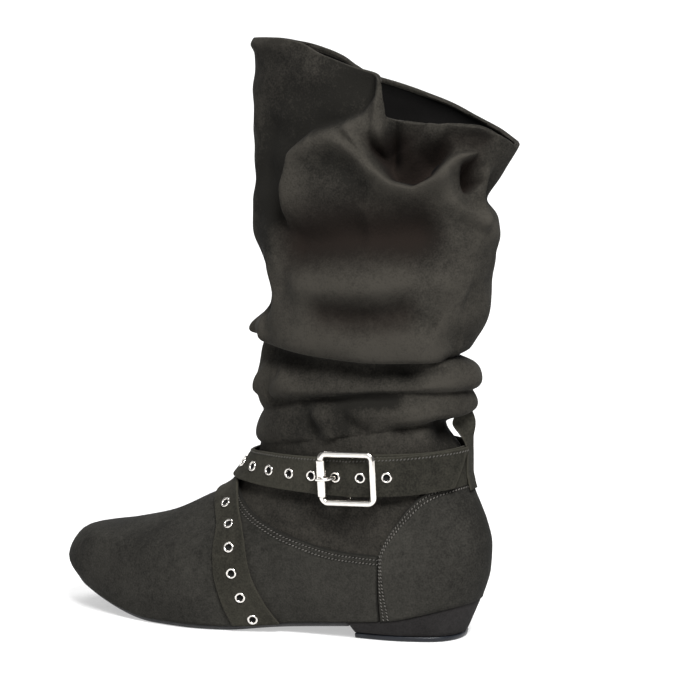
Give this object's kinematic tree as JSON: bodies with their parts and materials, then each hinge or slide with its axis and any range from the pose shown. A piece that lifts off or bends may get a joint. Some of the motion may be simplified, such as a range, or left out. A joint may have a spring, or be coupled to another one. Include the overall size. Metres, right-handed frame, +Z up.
{
  "type": "dance boot",
  "caption": "Left slouch dance boot with a soft gathered shaft, low block heel and thin sole, a riveted strap over the vamp and a riveted ankle strap with a roller buckle.",
  "frame": {"origin": "centre of the heel's tread, on the floor", "axes": "+Z up the shaft, -Y to the toe, +X to the outer side of a left foot"},
  "size_m": [0.0933, 0.2735, 0.328],
  "materials": {
    "suede": "napped",
    "strap_suede": "napped, cut edges",
    "nickel": "satin nickel plate",
    "sole_leather": "matte",
    "lift_rubber": "satin",
    "lining": "matte"
  },
  "bodies": {
    "root": {"upper": "suede", "vamp": "suede", "counter": "suede", "heel": "suede", "outsole": "sole_leather", "heel_lift": "lift_rubber", "insole": "lining", "vamp_strap": "strap_suede", "ankle_strap": "strap_suede", "strap_keeper": "strap_suede", "buckle_frame": "nickel", "buckle_roller": "nickel", "buckle_prong": "nickel", "vamp_eyelet_01": "nickel", "vamp_eyelet_02": "nickel", "vamp_eyelet_03": "nickel", "vamp_eyelet_04": "nickel", "vamp_eyelet_05": "nickel", "vamp_eyelet_06": "nickel", "vamp_eyelet_07": "nickel", "vamp_eyelet_08": "nickel", "vamp_eyelet_09": "nickel", "vamp_eyelet_10": "nickel", "vamp_eyelet_11": "nickel", "vamp_eyelet_12": "nickel", "ankle_eyelet_01": "nickel", "ankle_eyelet_02": "nickel", "ankle_eyelet_03": "nickel", "ankle_eyelet_04": "nickel", "ankle_eyelet_05": "nickel", "ankle_eyelet_06": "nickel", "ankle_eyelet_07": "nickel", "ankle_eyelet_08": "nickel", "ankle_eyelet_09": "nickel", "ankle_eyelet_10": "nickel", "ankle_eyelet_11": "nickel", "ankle_eyelet_12": "nickel", "ankle_eyelet_13": "nickel", "ankle_eyelet_14": "nickel", "ankle_eyelet_15": "nickel", "ankle_eyelet_16": "nickel", "ankle_eyelet_17": "nickel", "ankle_eyelet_18": "nickel"}
  },
  "joints": []
}
